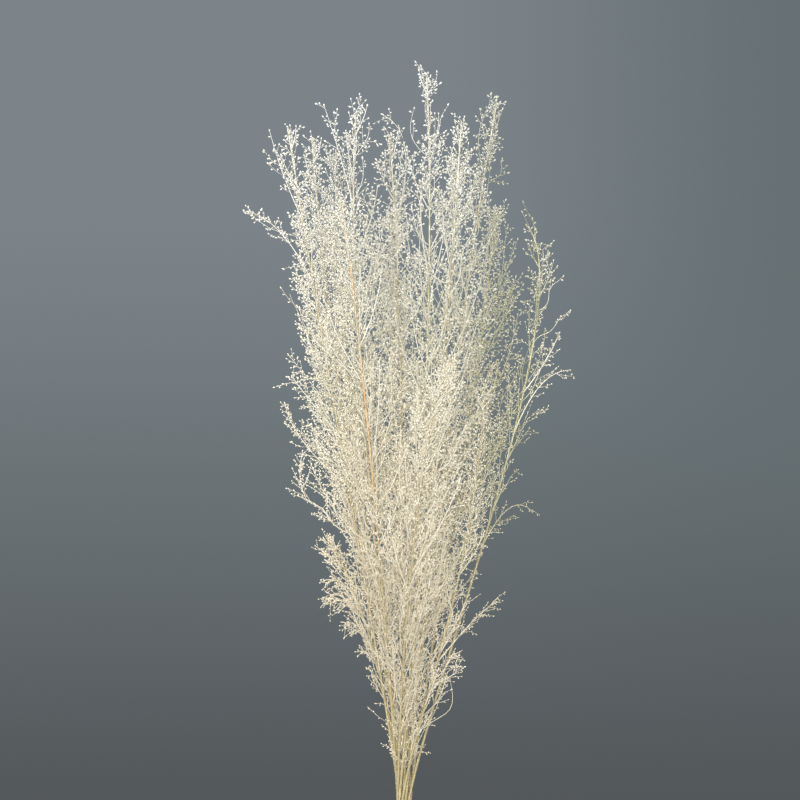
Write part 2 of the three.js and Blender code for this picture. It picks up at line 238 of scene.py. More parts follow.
class StemSettings(bpy.types.PropertyGroup):
    """Thickness and number of what grows."""

    foot_radius: length("Foot radius", 0.0013, "Radius of a stem at its cut foot")
    waist_radius: length("Waist radius", 0.0011, "Radius of a stem at the bottle's mouth")
    tip_radius: length("Tip radius", 0.00065, "Radius of a stem at its tip")
    branch_radius: length("Branch radius", 0.0006, "Radius of a side branch at its root")
    branch_tip_radius: length("Branch tip radius", 0.0003, "Radius of a side branch at its tip")
    twig_radius: length("Twig radius", 0.00026, "Radius of a twig at its root")
    twig_tip_radius: length("Twig tip radius", 0.00015, "Radius of a twig at its tip")
    fine_branches: IntProperty(
        name="Fine branches", description="Thinner side branches added to a tall stem", default=48, min=0
    )
    twig_spacing: length("Twig spacing", 0.0035, "Distance between twigs on a side branch")
    twig_longest: length("Longest twig", 0.017, "Length of a side branch's lowest twigs")
    twig_shortest: length("Shortest twig", 0.005, "Length of a side branch's topmost twigs")
    bark: tint("Bark", (0.46, 0.38, 0.20), "Straw colour of a bleached stem")
    tan_bark: tint("Tan bark", (0.62, 0.37, 0.12), "Colour of a stem that stayed tan")
    olive_bark: tint("Olive bark", (0.42, 0.40, 0.18), "Colour of a stem that stayed green")
    # The next four tints paint light and shade by height: a cooler, dimmer cast at the crown, and painted
    # shade, warmer and darker, towards the waist where the bunch shades itself
    crown: tint("Crown", (0.88, 0.91, 0.975), "Multiplies all colours but the bark's at the top")
    middle: tint("Middle", (1.0, 0.985, 0.95), "Multiplies all colours but the bark's half-way up")
    warmth: tint("Warmth", (1.0, 0.95, 0.87), "Multiplies all colours but the bark's lower down")
    lowest: tint("Lowest", (0.95, 0.89, 0.80), "Multiplies all colours but the bark's near the waist")
    twig: tint("Twig", (0.89, 0.86, 0.76), "Cream colour of the thin twigs")


class SeedHeadSettings(bpy.types.PropertyGroup):
    """Size, number and colours of the seed heads."""

    height: length("Height", 0.0031, "Length of a seed head with its short stalk")
    radius: length("Radius", 0.00073, "Greatest radius of a seed head")
    spacing: length("Spacing", 0.0030, "Distance between seed heads on a twig")
    pale: tint("Pale", (0.89, 0.87, 0.80), "Colour of the whitest seed heads")
    cream: tint("Cream", (0.88, 0.84, 0.73), "Usual colour of a seed head")
    dull: tint("Dull", (0.80, 0.75, 0.62), "Colour of the least bleached seed heads")
    olive: tint("Olive", (0.38, 0.39, 0.23), "Colour of the seed heads that stayed green")
    cup: tint("Cup", (0.77, 0.71, 0.57), "Colour of the cup at a seed head's root")


class StageSettings(bpy.types.PropertyGroup):
    """Camera, lights, backdrop and floor."""

    view_width: length("View width", 0.64, "Width that the camera sees at the bottle's axis")
    distance: length("Camera distance", 2.2, "From the camera to the bottle's axis")
    eye_height: length("Eye height", 0.548, "Height of the camera above the floor")
    eye_side: length("Eye side", -0.0032, "How far the camera stands to the right of the axis")
    key_power: power("Key light", 62, "Power of the light at the upper left")
    fill_power: power("Fill light", 18, "Power of the light at the right")
    front_power: power("Front light", 51, "Power of the light behind the camera")
    back_power: power("Back light", 40, "Power of the light behind the bunch")
    backdrop_top: tint("Backdrop top", (0.202, 0.231, 0.255), "Backdrop at the upper left")
    backdrop_middle: tint("Backdrop middle", (0.156, 0.184, 0.195), "Backdrop at the left, half-way up")
    backdrop_bottom: tint("Backdrop bottom", (0.085, 0.093, 0.100), "Backdrop at the bottom")
    backdrop_right: tint("Backdrop right", (0.135, 0.163, 0.173), "Backdrop at the upper right")
    floor: tint("Floor", (0.62, 0.63, 0.64), "Colour of the pale floor")
    floor_radius: length("Floor radius", 1.3, "Radius of the round floor")


# Numbers and lines


def number_stream(seed):
    """A repeatable stream of numbers from 0 to 1, the one that the solids are grown from."""
    whole = 0xFFFFFFFF
    step = 0x6D2B79F5
    state = seed & whole
    while True:
        state = (state + step) & whole
        mixed = ((state ^ (state >> 15)) * (state | 1)) & whole
        mixed ^= (mixed + ((mixed ^ (mixed >> 7)) * (mixed | 61))) & whole
        yield ((mixed ^ (mixed >> 14)) & whole) / (whole + 1)


def lerp(low, high, at):
    return low + (high - low) * at


def normalised(vectors):
    return vectors / np.maximum(np.linalg.norm(vectors, axis=-1, keepdims=True), 1e-12)


def bezier(corners, shares):
    """Points of Bezier curves at shares of their way. A corner is one point, or a row of them."""
    points = [np.asarray(corner, float)[..., None, :] for corner in corners]
    while len(points) > 1:
        points = [a + (b - a) * shares[:, None] for a, b in zip(points, points[1:])]
    return points[0]


def sideways(along, bearing):
    """Unit vectors square to the given ones, turned round them by a bearing."""
    side = normalised(np.cross([0.0, 0.0, 1.0], along))
    across = np.cross(along, side)
    bearing = np.asarray(bearing)[..., None]
    return side * np.cos(bearing) + across * np.sin(bearing)


def leaning(along, side, lean):
    """Unit vectors that lean from one way towards another that is square to it."""
    return along * np.cos(lean)[:, None] + side * np.sin(lean)[:, None]


def retoned(tones, own, draw):
    """Tones from 0 to 1, with a share of each drawn anew."""
    return np.clip(tones * (1 - own) + draw.random(len(tones)) * own, 0, 1)


def on_lines(lines, rows, shares):
    """Points and directions on lines of evenly spread points, at shares of their way."""
    place = np.clip(shares, 0, 1) * (lines.shape[1] - 1)
    index = np.minimum(place.astype(int), lines.shape[1] - 2)
    low = lines[rows, index]
    high = lines[rows, index + 1]
    return lerp(low, high, (place - index)[:, None]), normalised(high - low)


# The stems' lines, laid out as in the frame's solids

WAIST_HEIGHT = 0.221
TWIST_PER_METRE = 23.0
FOOT_GAP = 0.0005
STRAIGHT_ABOVE_WAIST = 0.070
STEM_STEPS = 60
CLEARANCE = 0.00175
CLEAR_PASSES = 4
CLEAR_ABOVE_TIP = 0.030
# How far side branches and whole pieces may go past the box of the frame's solids, below and above
LINE_MARGINS = (-0.001, -0.003)
PIECE_MARGINS = (0.002, 0.002)


def lay_out_stems(floor_thickness):
    """Gives each stem its number, the corners of its curve and its line."""
    slots_used = {"inner": 0, "outer": 0}
    for number, stem in enumerate(STEMS, 1):
        ring = stem.ring
        which = "inner" if ring is INNER_RING else "outer"
        angle = math.radians(ring["first_angle"] + 360 / ring["slots"] * slots_used[which])
        slots_used[which] += 1
        out = np.array([math.cos(angle), math.sin(angle), 0]) * ring["radius"] * MM
        along = np.array([-out[1], out[0], 0]) * TWIST_PER_METRE + (0, 0, 1)
        waist = out + (0, 0, WAIST_HEIGHT)
        leg = WAIST_HEIGHT - floor_thickness - FOOT_GAP
        stem.number = number
        stem.corners = [
            waist - along * leg,
            waist,
            waist + along * STRAIGHT_ABOVE_WAIST,
            np.array(stem.bend) * MM,
            np.array(stem.tip) * MM,
        ]
        shoot = bezier(stem.corners[1:], np.linspace(0, 1, STEM_STEPS + 1))
        stem.line = np.vstack([stem.corners[:1], shoot])


def at_height(stem, heights):
    """Where a stem crosses some heights. Past its tip it counts as going straight up."""
    x, y, z = stem.line.T
    return np.stack([np.interp(heights, z, x), np.interp(heights, z, y), np.asarray(heights, float)], -1)


def direction_at(stem, heights):
    step = 0.002
    top = stem.line[-1, 2]
    heights = np.minimum(heights, top - step)
    return normalised(at_height(stem, heights + step) - at_height(stem, heights))


def in_box(points, below, above):
    """Points held inside the box of the frame's solids, or past it by the given lengths."""
    return np.clip(points, np.array(CAD_BOX[0]) - below, np.array(CAD_BOX[1]) + above)


def keep_clear(stem, points):
    """Pulls points back until they lie nearer their own stem than any other."""
    points = points.copy()
    for _ in range(CLEAR_PASSES):
        own = at_height(stem, points[:, 2])
        for other in STEMS:
            if other is stem:
                continue
            gap = at_height(other, points[:, 2]) - own
            distance = np.linalg.norm(gap, axis=1)
            across = gap / np.maximum(distance, 1e-9)[:, None]
            border = np.maximum(distance / 2 - CLEARANCE, 0)
            past = np.einsum("ij,ij->i", points - own, across) - border
            past[points[:, 2] > other.line[-1, 2] + CLEAR_ABOVE_TIP] = 0
            points -= np.maximum(past, 0)[:, None] * across
    return points


# Side branches and twigs

SEEDS_PER_STEM = 1000
FIRST_OUTLYING_SEED = 500
TWIG_SEED = 100
HEAD_SEED = 200
BRANCH_LEAN = math.radians(31)
BRANCH_UPTURN = 0.34
BRANCH_SHORTEST = 0.017
LOWEST_SHARE = 0.4
LONGEST_AT = 0.25
TOPMOST_SHARE = 0.16
FADING_POWER = 2.6
CROWDING_UPWARDS = 0.9
BARE_TOP = 0.009
UNEVENNESS = 0.2
BRANCH_STEPS = 9
BRANCH_WAVES = (0.6, 1.8)
BRANCH_SWING = (0.001, 0.0036)
STALK_LEAN = math.radians(48)
STALK_LONGEST = 0.024
STALK_SHORTEST = 0.013
STALK_SPACING = 0.025
STALKS_FROM = 0.25
STALKS_TO = 0.95
LENGTH_STEPS = 200
TWIG_STEPS = 2
TUBE_SIDES = 3
# Stems with a shorter reach, in millimetres, get half as many fine branches
TALL_REACH = 60
# Fine branches: shares of the usual length and lean, and what is added to the greater share at the tip
FINE_REACH = (0.45, 0.95)
FINE_REACH_GAIN = 0.3
FINE_LEAN = (0.6, 1.5)
FINE_LEAN_GAIN = 0.5
FINE_TURN = 1.2
FINE_TURN_SPREAD = 0.4
FINE_UPTURN = (0, 0.6)
FINE_THICKNESS = 0.65
# Twigs: where they start and stop on a branch, the spread of their sizes, and their bend
TWIGS_FROM = 0.2
TWIGS_TO = 0.98
TWIG_SIZES = (0.7, 1.3)
TWIG_TURN_SPREAD = 1.0
TWIG_LEAN_SPREAD = 0.3
TWIG_RISE = (-0.6, 0.4)
TWIG_FOLLOW = 0.25
TWIG_TIP_SHARE = 0.85
TWIG_OWN_TONE = 0.3
# Short branches have twigs of this share of the usual length, growing with the branch's length
SHORT_BRANCH_TWIGS = 0.4
LONG_BRANCH = 0.08
GREEN_SPREAD = 0.12
BARE_GREEN = 0.45
# Places across the bunch, and how much greener its branches are there. The green is partly the real green of
# less bleached branches and partly painted shade, as it darkens the right flank that lies away from the key
# light
GREEN_AND_SHADED_FLANK = ((0.050, 0.085, 0.105, 0.125), (0.0, 0.6, 0.6, 0.2))
# Shares of the way up a stem between which twigs grow on the stem itself, in the middle of its tones
STICK_TWIGS = (0.5, 0.995)
STICK_TONE = 0.5
# One twig in so many on the stem itself grows between these heights instead
LOW_TWIG_IN = 5
LOWEST_TWIGS = (0.252, 0.36)
# Shares of the way up a stem, and the share of their lean that fine branches have there
TOP_LEAN = ((0.84, 1.0), (1.0, 0.2))
# Twigs count as close to a stick within the slim radius, and as at its front up to the front's depth
SLIM_RADIUS = 0.0035
SLIM_TWIGS = 0.6
FRONT_DEPTH = 0.002
# Heights, and how far to the left and right twigs grow there. A metre stands for no edge
NO_EDGE = 1.0
LEFT_EDGE = (
    (0.27, 0.31, 0.33, 0.35, 0.39, 0.42, 0.43, 0.60, 0.615, 0.67, 0.68, 0.73, 0.74, 0.79),
    (
        -0.007, -0.007, -0.01, -0.016, -0.028, -0.042, -NO_EDGE,
        -NO_EDGE, -0.083, -0.085, -NO_EDGE, -NO_EDGE, -0.104, -0.086,
    ),
)
RIGHT_EDGE = ((0.70, 0.71, 0.80), (NO_EDGE, 0.079, 0.076))
# Between the middle two of these heights a stem's twigs are thinned out to its fullness
LACE = (0.48, 0.57, 0.67, 0.72)
# Heights, and the share of the twigs that grow there
THINNING = ((0.56, 0.74, 0.775), (1.0, 0.62, 0.42))
# Heights, and the share of their lean that twigs have there
UPRIGHT_BELOW = ((0.32, 0.56), (0.75, 1.05))


class Rows:
    """Values in equally many rows, one array for each field."""

    def only(self, rows):
        return type(self)(*(getattr(self, part.name)[rows] for part in fields(self)))

    @classmethod
    def joined(cls, *groups):
        columns = [[getattr(group, part.name) for group in groups] for part in fields(cls)]
        return cls(*(np.concatenate(column) for column in columns))


@dataclass
class Shoots(Rows):
    """Thin shoots: points, radii at the points, a tone and a share of green from 0 to 1, and length."""

    points: np.ndarray
    radii: np.ndarray
    tones: np.ndarray
    greens: np.ndarray
    lengths: np.ndarray


@dataclass
class Roots(Rows):
    """Where twigs grow: place, direction of what carries them, bearing round it, length, tone and green."""

    places: np.ndarray
    along: np.ndarray
    bearings: np.ndarray
    lengths: np.ndarray
    tones: np.ndarray
    greens: np.ndarray


def branch_corners(stem, height, bearing, reach, lean=BRANCH_LEAN, upturn=BRANCH_UPTURN):
    """Corners of the side branch that leaves a stem at a height, at a bearing, with a length."""
    point = at_height(stem, height)
    up = direction_at(stem, height) * reach * math.cos(lean)
    out = np.array([math.cos(bearing), math.sin(bearing), 0]) * reach * math.sin(lean)
    return [point, point + up / 2 + out / 2, point + up + out * (1 - upturn)]


def branch_length(stem, at):
    """How long a side branch is, at a share of the way from the lowest to the topmost."""
    growing = min(1, lerp(LOWEST_SHARE, 1, at / LONGEST_AT))
    fading = lerp(1, TOPMOST_SHARE, at**FADING_POWER)
    return max(BRANCH_SHORTEST, stem.reach * MM * growing * fading)


def roughly(size, chance):
    """A size made a little larger or smaller."""
    return size * (1 + UNEVENNESS * (2 * chance - 1))


def curve_length(corners):
    points = bezier(corners, np.linspace(0, 1, LENGTH_STEPS + 1))
    return np.linalg.norm(np.diff(points, axis=0), axis=1).sum()


def stalks_along(corners, chance):
    """Where the solids have their stalks on a side branch: share, bearing and length of each."""
    count = max(1, int(curve_length(corners) / STALK_SPACING + 0.5))
    stalks = []
    for i in range(count):
        at = lerp(STALKS_FROM, STALKS_TO, (i + next(chance)) / count)
        bearing = i * GOLDEN_ANGLE + next(chance) * math.pi
        stalks.append((at, bearing, roughly(lerp(STALK_LONGEST, STALK_SHORTEST, at), next(chance))))
    return stalks


def placed_branches(stem, table):
    """The rows of a table that are about a stem, and the corners of the side branches they give."""
    rows = [row for row in table if row[0] == stem.number]
    corners = [[at_height(stem, row[1] * MM), np.array(row[2]) * MM, np.array(row[3]) * MM] for row in rows]
    return rows, corners


def framed_branches(stem):
    """The side branches that the solids have, each as its corners and its stalks."""
    chance = number_stream(SEEDS_PER_STEM * stem.number)
    top = stem.tip[2] * MM - BARE_TOP
    branches = []
    for i in range(stem.branches):
        at = ((i + next(chance) / 2) / (stem.branches - 0.5)) ** CROWDING_UPWARDS
        height = lerp(stem.bare_to * MM, top, at)
        reach = roughly(branch_length(stem, at), next(chance))
        corners = branch_corners(stem, height, i * GOLDEN_ANGLE + stem.number, reach)
        branches.append((corners, stalks_along(corners, chance)))
    for i, corners in enumerate(placed_branches(stem, OUTLYING_BRANCHES)[1]):
        chance = number_stream(SEEDS_PER_STEM * stem.number + FIRST_OUTLYING_SEED + i)
        branches.append((corners, stalks_along(corners, chance)))
    return branches


def fine_branches(stem, count, draw):
    """Thinner side branches between those of the solids, as corners."""
    top = stem.tip[2] * MM - BARE_TOP
    low = stem.bare_to * MM
    branches = []
    for i in range(count):
        at = ((i + draw.random()) / count) ** CROWDING_UPWARDS
        reach = branch_length(stem, at) * draw.uniform(FINE_REACH[0], FINE_REACH[1] + at * FINE_REACH_GAIN)
        turn = draw.uniform(-FINE_TURN_SPREAD, FINE_TURN_SPREAD)
        bearing = i * GOLDEN_ANGLE + stem.number + FINE_TURN + turn
        lean = BRANCH_LEAN * draw.uniform(FINE_LEAN[0], FINE_LEAN[1] + at * FINE_LEAN_GAIN)
        lean *= np.interp(at, *TOP_LEAN)
        upturn = draw.uniform(*FINE_UPTURN)
        branches.append(branch_corners(stem, lerp(low, top, at), bearing, reach, lean, upturn))
    return branches


def meandering(points, draw):
    """Side branches swung a little from side to side on their way to the tip."""
    chords = normalised(points[:, -1] - points[:, 0])
    side = sideways(chords, draw.uniform(0, FULL_TURN, len(points)))
    waves = draw.uniform(*BRANCH_WAVES, len(points))[:, None] * np.linspace(0, FULL_TURN, points.shape[1])
    swing = np.sin(waves) * draw.uniform(*BRANCH_SWING, len(points))[:, None]
    return points + side[:, None] * swing[:, :, None]


def grow_branches(stem, settings):
    """The side branches of a stem, and the stalks that the solids have on them."""
    draw = np.random.default_rng(stem.number)
    framed = framed_branches(stem)
    share = 1 if stem.reach > TALL_REACH else 2
    sprays, spray_corners = placed_branches(stem, SPRAYS)
    fine = fine_branches(stem, settings.fine_branches // share, draw) + spray_corners
    corners = [branch[0] for branch in framed] + fine
    corners = [np.array([branch[i] for branch in corners]) for i in range(3)]
    points = bezier(corners, np.linspace(0, 1, BRANCH_STEPS + 1))
    count = len(points)
    held = points[: len(framed), 1:]
    points[: len(framed), 1:] = keep_clear(stem, held.reshape(-1, 3)).reshape(held.shape)
    points[len(framed) :] = meandering(points[len(framed) :], draw)
    points = in_box(points, *LINE_MARGINS)
    thickness = np.concatenate([np.ones(len(framed)), np.full(len(fine), FINE_THICKNESS)])
    taper = lerp(settings.branch_radius, settings.branch_tip_radius, np.linspace(0, 1, BRANCH_STEPS + 1))
    lengths = np.linalg.norm(np.diff(points, axis=1), axis=2).sum(1)
    for i, spray in enumerate(sprays, count - len(sprays)):
        lengths[i] *= spray[-1]
    tones = draw.random(count)
    greens = stem.green + draw.uniform(-GREEN_SPREAD, GREEN_SPREAD, count)
    # Greener and darker on the right flank: partly real green, partly painted shade
    greens = np.clip(greens + np.interp(points[:, -1, 0], *GREEN_AND_SHADED_FLANK), 0, 1)
    greens[lengths == 0] = BARE_GREEN
    stalks = [(row, *stalk) for row, (_, each) in enumerate(framed) for stalk in each]
    return Shoots(points, thickness[:, None] * taper, tones, greens, lengths), np.array(stalks)


def branch_roots(branches, stalks, settings, sizes_at, draw):
    """Where twigs grow on the side branches, after the stalks of the solids."""
    rows, shares, bearings, lengths = [list(column) for column in stalks.T]
    for row, reach in enumerate(branches.lengths):
        count = max(2, round(reach / settings.twig_spacing)) if reach else 0
        at = lerp(TWIGS_FROM, TWIGS_TO, (np.arange(count) + draw.random(count)) / count)
        rows += [row] * count
        shares += list(at)
        lengths += list(sizes_at(at) * min(1, SHORT_BRANCH_TWIGS + reach / LONG_BRANCH))
        bearings += list(np.arange(count) * GOLDEN_ANGLE + draw.uniform(0, TWIG_TURN_SPREAD, count))
    rows = np.array(rows, int)
    places, along = on_lines(branches.points, rows, np.array(shares))
    tones, greens = branches.tones[rows], branches.greens[rows]
    return Roots(places, along, np.array(bearings), np.array(lengths), tones, greens)


def stick_roots(stem, settings, sizes_at):
    """Where twigs grow on a stem itself."""
    low, top = stem.bare_to * MM, stem.tip[2] * MM
    count = round((top - low) / settings.twig_spacing)
    at = np.linspace(*STICK_TWIGS, count)
    lowest = count // LOW_TWIG_IN
    at[:lowest] = np.linspace(LOWEST_TWIGS[0] - low, LOWEST_TWIGS[1] - low, lowest) / (top - low)
    heights = lerp(low, top, at)
    places, along = at_height(stem, heights), direction_at(stem, heights)
    tones, greens = np.full(count, STICK_TONE), np.full(count, stem.green)
    return Roots(places, along, np.arange(count) * GOLDEN_ANGLE, sizes_at(at), tones, greens)


def thinned(stem, roots, stalk_count, draw):
    """The roots that still carry a twig. The stalks of the solids fall only to gaps and edges."""
    x, y, heights = roots.places.T
    share = stem.density * np.interp(heights, LACE, (1.0, stem.fullness, stem.fullness, 1.0))
    kept = draw.random(len(heights)) < share * np.interp(heights, *THINNING)
    kept[:stalk_count] = True
    own = at_height(stem, heights)
    bare_low, bare_high = np.array(stem.bare_front) * MM
    kept[(y < own[:, 1] + FRONT_DEPTH) & (heights > bare_low) & (heights < bare_high)] = False
    slim = heights > stem.slim_above * MM
    kept[slim & (np.linalg.norm((roots.places - own)[:, :2], axis=1) > SLIM_RADIUS)] = False
    roots.lengths[slim] *= SLIM_TWIGS
    if not stem.loose:
        kept[(x < np.interp(heights, *LEFT_EDGE)) | (x > np.interp(heights, *RIGHT_EDGE))] = False
    return roots.only(kept)


def grow_twigs(stem, settings, branches, stalks):
    """The twigs on a stem's side branches and on its upper part."""
    draw = np.random.default_rng(TWIG_SEED + stem.number)

    def sizes_at(at):
        return lerp(settings.twig_longest, settings.twig_shortest, at) * draw.uniform(*TWIG_SIZES, len(at))

    on_branches = branch_roots(branches, stalks, settings, sizes_at, draw)
    roots = Roots.joined(on_branches, stick_roots(stem, settings, sizes_at))
    roots = thinned(stem, roots, len(stalks), draw)
    count = len(roots.places)
    lean = STALK_LEAN * np.interp(roots.places[:, 2], *UPRIGHT_BELOW)
    lean = lean + draw.uniform(-TWIG_LEAN_SPREAD, TWIG_LEAN_SPREAD, count)
    rise = draw.uniform(*TWIG_RISE, count)[:, None] * (0, 0, 1)
    out = leaning(roots.along, sideways(roots.along, roots.bearings), lean)
    reach = roots.lengths[:, None]
    middle = roots.places + out * reach / 2
    tip = roots.places + (out + roots.along * TWIG_FOLLOW + rise) * reach * TWIG_TIP_SHARE
    points = bezier([roots.places, middle, tip], np.linspace(0, 1, TWIG_STEPS + 1))
    taper = lerp(settings.twig_radius, settings.twig_tip_radius, np.linspace(0, 1, TWIG_STEPS + 1))
    tones = retoned(roots.tones, TWIG_OWN_TONE, draw)
    return Shoots(points, np.repeat(taper[None], count, 0), tones, roots.greens, roots.lengths)


def grow(stem, settings):
    """The side branches and the twigs of a stem."""
    branches, stalks = grow_branches(stem, settings)
    return branches, grow_twigs(stem, settings, branches, stalks)


# Seed heads

HEAD_LEAN = math.radians(55)
HEAD_DROOP = 0.2
# Heights, and the size of the seed heads there
HEAD_SIZES = ((0.40, 0.56, 0.80), (0.64, 0.84, 1.14))
HEAD_SIDES = 4
# Where heads start and stop on a twig, and how far the one at its tip is along it
HEADS_FROM = 0.36
HEADS_TO = 0.97
TIP_HEAD_AT = 0.985
# On side branches they start later, and lie further apart by this factor
BRANCH_HEADS_FROM = 0.65
BRANCH_HEADS_APART = 2.2
# Spread of their place, turn, lean and size, and the share of their tone that isn't their twig's
HEAD_PLACE_SPREAD = 0.9
HEAD_ROW_TURN = 1.7
HEAD_TURN_SPREAD = 0.7
HEAD_LEAN_SPREAD = 0.35
HEAD_SIZE_SPREAD = (0.8, 1.2)
HEAD_OWN_TONE = 0.4
# Height and radius of each ring of a head, as shares of its size, from the root to the top
HEAD_RINGS = {-2: (0.0, 0), -1: (0.36, 0.55), 1: (0.66, 1.0), 2: (1.0, 0)}


@dataclass
class Heads(Rows):
    """Seed heads: root, the way it points, size, turn, tone and share of green."""

    roots: np.ndarray
    along: np.ndarray
    sizes: np.ndarray
    turns: np.ndarray
    tones: np.ndarray
    greens: np.ndarray


def heads_on(shoots, spacing, start, draw):
    """Seed heads along shoots, on alternate sides, with one more at each tip."""
    counts = np.maximum(1, np.round(shoots.lengths * (1 - start) / spacing)).astype(int)
    rows = np.repeat(np.arange(len(counts)), counts)
    place = np.arange(len(rows)) - np.repeat(np.cumsum(counts) - counts, counts)
    shares = lerp(start, HEADS_TO, (place + draw.uniform(0, HEAD_PLACE_SPREAD, len(rows))) / counts[rows])
    roots, along = on_lines(shoots.points, rows, shares)
    turn = place * math.pi + rows * HEAD_ROW_TURN
    turn = turn + draw.uniform(-HEAD_TURN_SPREAD, HEAD_TURN_SPREAD, len(rows))
    lean = HEAD_LEAN + draw.uniform(-HEAD_LEAN_SPREAD, HEAD_LEAN_SPREAD, len(rows))
    out = leaning(along, sideways(along, turn), lean) - (0, 0, HEAD_DROOP)
    tips = np.arange(len(counts))
    tip_roots, tip_along = on_lines(shoots.points, tips, np.full(len(tips), TIP_HEAD_AT))
    count = len(rows) + len(tips)
    carriers = np.concatenate([rows, tips])
    roots = np.vstack([roots, tip_roots])
    return Heads(
        roots,
        normalised(np.vstack([out, tip_along])),
        draw.uniform(*HEAD_SIZE_SPREAD, count) * np.interp(roots[:, 2], *HEAD_SIZES),
        draw.uniform(0, FULL_TURN, count),
        retoned(shoots.tones[carriers], HEAD_OWN_TONE, draw),
        shoots.greens[carriers],
    )


def model_seed_head(settings):
    """One seed head, pointing up from a narrow root: corners, triangles and how high each corner is."""
    bpy.ops.mesh.primitive_uv_sphere_add(segments=HEAD_SIDES, ring_count=3, radius=1, align="WORLD")
    bud = bpy.context.object
    for corner in bud.data.vertices:
        height, radius = HEAD_RINGS[round(corner.co.z * 2)]
        flat = Vector((corner.co.x, corner.co.y, 0))
        flat = flat.normalized() * radius * settings.radius if radius else flat * 0
        corner.co = flat + Vector((0, 0, height * settings.height))
    with all_in_edit_mode():
        bpy.ops.mesh.quads_convert_to_tris()
        bpy.ops.mesh.normals_make_consistent(inside=False)
    corners = np.array([corner.co for corner in bud.data.vertices])
    triangles = np.array([face.vertices for face in bud.data.polygons])
    rise = corners[:, 2] / settings.height
    mesh = bud.data
    bpy.data.objects.remove(bud)
    bpy.data.meshes.remove(mesh)
    return corners, triangles, rise


# Meshes

# A stick's Bezier steps, the roundness of its outline, and how uneven its bark is
STICK_STEPS = 40
STICK_ROUNDNESS = 2
BARK_UNEVENNESS = 0.00004


@contextmanager
def all_in_edit_mode():
    """Opens the active mesh for editing with everything selected, and closes it again."""
    bpy.ops.object.mode_set(mode="EDIT")
    bpy.ops.mesh.select_all(action="SELECT")
    yield
    bpy.ops.object.mode_set(mode="OBJECT")


def mesh_object(name, corners, face_groups, attributes):
    """A new piece from its corners, groups of faces with as many corners each, and corner values."""
    mesh = bpy.data.meshes.new(name)
    totals = np.concatenate([np.full(len(group), group.shape[1]) for group in face_groups])
    loops = np.concatenate([group.ravel() for group in face_groups])
    mesh.vertices.add(len(corners))
    mesh.loops.add(len(loops))
    mesh.polygons.add(len(totals))
    mesh.vertices.foreach_set("co", corners.astype(np.float32).ravel())
    mesh.loops.foreach_set("vertex_index", loops.astype(np.int32))
    mesh.polygons.foreach_set("loop_start", (np.cumsum(totals) - totals).astype(np.int32))
    mesh.polygons.foreach_set("use_smooth", np.ones(len(totals), bool))
    mesh.update(calc_edges=True)
    for key, values in attributes.items():
        mesh.attributes.new(key, "FLOAT", "POINT").data.foreach_set("value", values.astype(np.float32))
    piece = bpy.data.objects.new(name, mesh)
    bpy.context.scene.collection.objects.link(piece)
    return piece


def tubes(shoots, sides):
    """Closed tubes round shoots: corners, and groups of faces."""
    points = shoots.points
    along = normalised(np.gradient(points, axis=1))
    chord = points[:, -1] - points[:, 0]
    reference = normalised(np.cross(np.roll(chord, 1, axis=1) * (-1, 1, 1), chord))
    side = normalised(np.cross(reference[:, None], along))
    across = np.cross(along, side)
    turn = (np.arange(sides) * FULL_TURN / sides)[:, None]
    ring = side[:, :, None] * np.cos(turn) + across[:, :, None] * np.sin(turn)
    corners = points[:, :, None] + ring * shoots.radii[:, :, None, None]
    index = np.arange(corners.size // 3).reshape(corners.shape[:3])
    near, far = index[:, :-1], index[:, 1:]
    walls = np.stack([near, np.roll(near, -1, 2), np.roll(far, -1, 2), far], -1)
    ends = np.vstack([index[:, 0, ::-1], index[:, -1]])
    return corners.reshape(-1, 3), [walls.reshape(-1, 4), ends]


def select_only(*objects):
    bpy.ops.object.select_all(action="DESELECT")
    for obj in objects:
        obj.select_set(True)
    bpy.context.view_layer.objects.active = objects[0]


def make_stick(stem, settings):
    """The bare stick of a stem, as a round curve from its foot through the waist to its tip."""
    bpy.ops.curve.primitive_bezier_curve_add(location=(0, 0, 0))
    stick = bpy.context.object
    stick.name = f"{stem.node}_stick"
    spline = stick.data.splines[0]
    spline.bezier_points.add(1)
    foot, waist, above, bend, tip = [Vector(corner) for corner in stem.corners]
    below = waist + (waist - above)
    places = [
        (foot, foot + (foot - waist) / 3, foot + (waist - foot) / 3, settings.foot_radius),
        (waist, below, above, settings.waist_radius),
        (tip, bend, tip + (tip - bend) / 3, settings.tip_radius),
    ]
    for point, (place, before, after, radius) in zip(spline.bezier_points, places):
        point.handle_left_type = point.handle_right_type = "FREE"
        point.co, point.handle_left, point.handle_right = place, before, after
        point.radius = radius
    stick.data.dimensions = "3D"
    stick.data.bevel_depth = 1
    stick.data.bevel_resolution = STICK_ROUNDNESS
    stick.data.resolution_u = STICK_STEPS
    stick.data.use_fill_caps = True
    select_only(stick)
    bpy.ops.object.convert(target="MESH")
    stick = bpy.context.object
    with all_in_edit_mode():
        bpy.ops.transform.vertex_random(offset=BARK_UNEVENNESS, seed=stem.number)
    bpy.ops.object.shade_smooth()
    for key in ("tone", "green"):
        stick.data.attributes.new(key, "FLOAT", "POINT")
    return stick


# Finishes


# The sockets of a colour mix node, whose names repeat
MIX_FACTOR, MIX_FIRST, MIX_SECOND, MIX_RESULT = 0, 6, 7, 2

# Patches: scale of the noise, and its levels where they start and are full
WORN_PATCHES = (30.0, 0.35, 0.7)
GREEN_PATCHES = (14.0, 0.56, 0.8)
GREEN_PATCH_SHARE = 0.35
# Heights between which the painted light and shade turns cooler, from warm painted shade near the waist to a
# dim, cool painted cast at the crown, and shares of the way with the warm shade and the middle
HEIGHT_SHADING = (0.38, 0.80)
WARM_SHADE_AT = 0.15
MIDDLE_AT = 0.5
